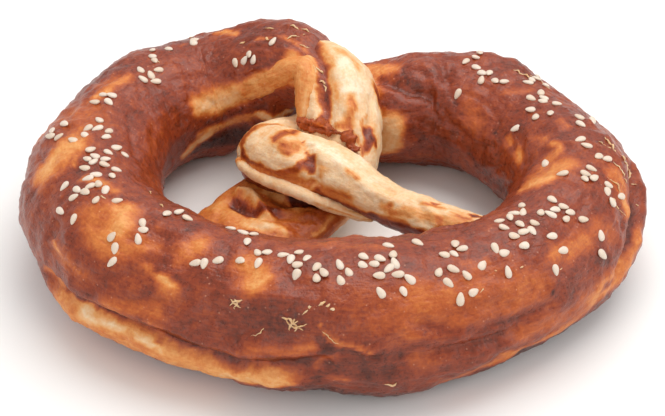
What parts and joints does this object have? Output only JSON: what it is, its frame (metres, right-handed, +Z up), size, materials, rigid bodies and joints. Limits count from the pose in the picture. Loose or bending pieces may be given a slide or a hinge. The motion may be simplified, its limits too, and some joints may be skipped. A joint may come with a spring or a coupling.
{
  "type": "sesame pretzel",
  "caption": "Soft pretzel knotted from a thick rope, with a glossy brown crust, pale strands in the twist and sesame seeds on top. It rests flat and is open through its holes.",
  "frame": {"origin": "on the table under the middle of the pretzel's bounding box", "axes": "+X to the pretzel's right along its width, +Y to the side where the arms cross, +Z up from the table"},
  "size_m": [0.1595, 0.1357, 0.0391],
  "materials": {
    "crust": "glossy browned crust, thin and orange in patches, with pale bare strands in the twist",
    "seed": "satin cream sesame seed"
  },
  "bodies": {
    "root": {"pretzel": "crust"}
  },
  "joints": []
}
